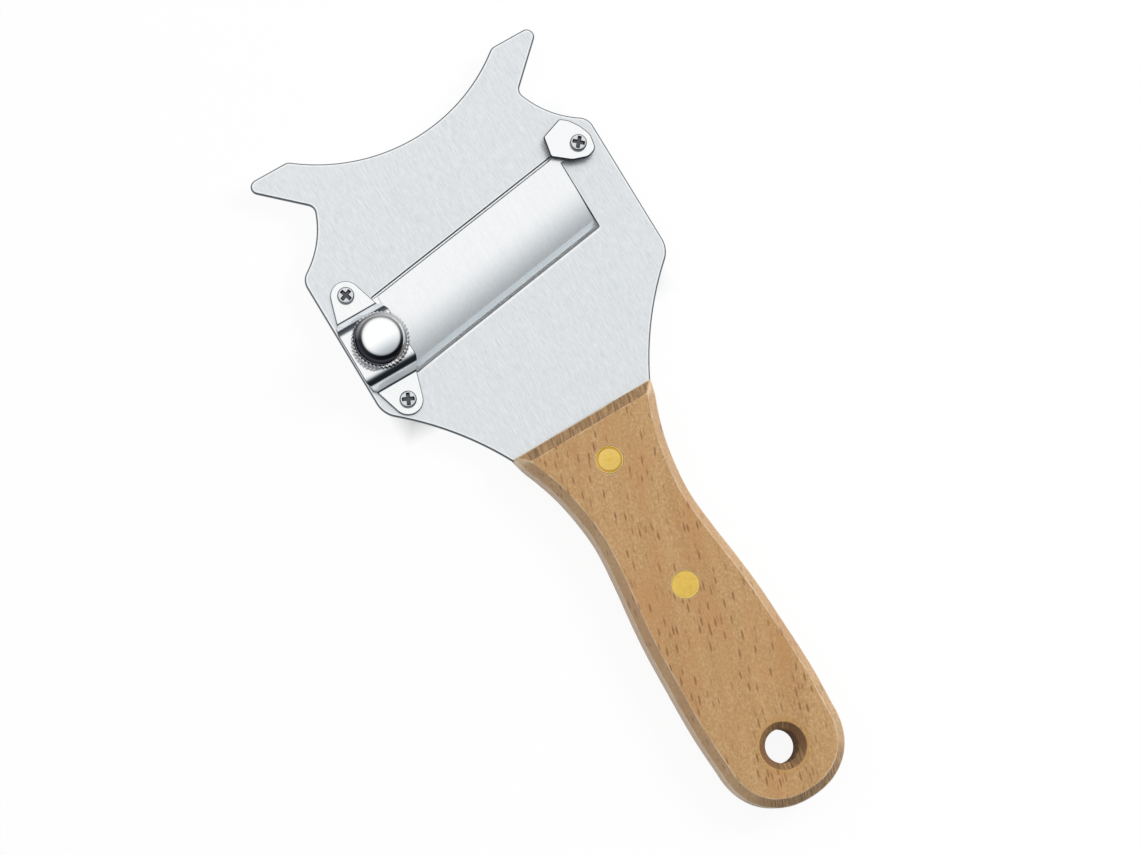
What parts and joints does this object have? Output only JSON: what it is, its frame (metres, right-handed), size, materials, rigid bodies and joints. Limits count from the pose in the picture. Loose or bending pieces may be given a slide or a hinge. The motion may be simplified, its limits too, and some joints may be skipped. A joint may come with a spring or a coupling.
{
  "type": "truffle slicer",
  "caption": "Hand-held truffle slicer with a forked steel plate, a curved blade in a slanted window, a thumb knob on a bridge that sets the slice, and a riveted beech handle.",
  "frame": {"origin": "under the middle of the outline, in the plane of the handle's back face", "axes": "+Y from the handle to the fork, +Z out of the face that carries the knob, +X to the side of the blade's clamp"},
  "size_m": [0.0944, 0.2278, 0.022],
  "materials": {
    "brushed steel": "fine cross brushing",
    "blade steel": "satin",
    "bright steel": "bright satin",
    "screw steel": "bright",
    "chrome": "polished",
    "spring steel": "drawn wire",
    "brass": "sanded flush",
    "beech": "oiled, with dark flecks"
  },
  "bodies": {
    "slicer": {"slicer_plate": "brushed steel", "wood_handle": "beech", "front_rivet_barrel": "brass", "front_rivet_pin": "brass", "rear_rivet_barrel": "brass", "rear_rivet_pin": "brass", "bridge_bracket": "bright steel", "bracket_screw_upper": "screw steel", "bracket_screw_lower": "screw steel", "blade_clamp": "bright steel", "clamp_screw": "screw steel", "blade_spacer": "bright steel", "knob_washer": "bright steel", "blade_spring": "spring steel"},
    "knob": {"adjusting_knob": "chrome", "knob_insert": "brass"},
    "blade": {"slicing_blade": "blade steel", "blade_stud": "screw steel"}
  },
  "joints": [
    {"name": "knob_turn", "type": "hinge", "parent": "slicer", "child": "knob", "pos_m": [-0.0381, 0.05576, 0.0133], "axis": [0, 0, 1], "range_deg": [-360, 360]},
    {"name": "blade_tilt", "type": "hinge", "parent": "slicer", "child": "blade", "pos_m": [0.0399, 0.07692, 0.0084], "axis": [-0.2618, 0.9651, 0], "range_deg": [-0.5, 0.5], "deforming": ["blade_spring"]}
  ],
  "couplings": [
    {"joint": "blade_tilt", "follows": "knob_turn", "ratio": -0.0013785}
  ]
}
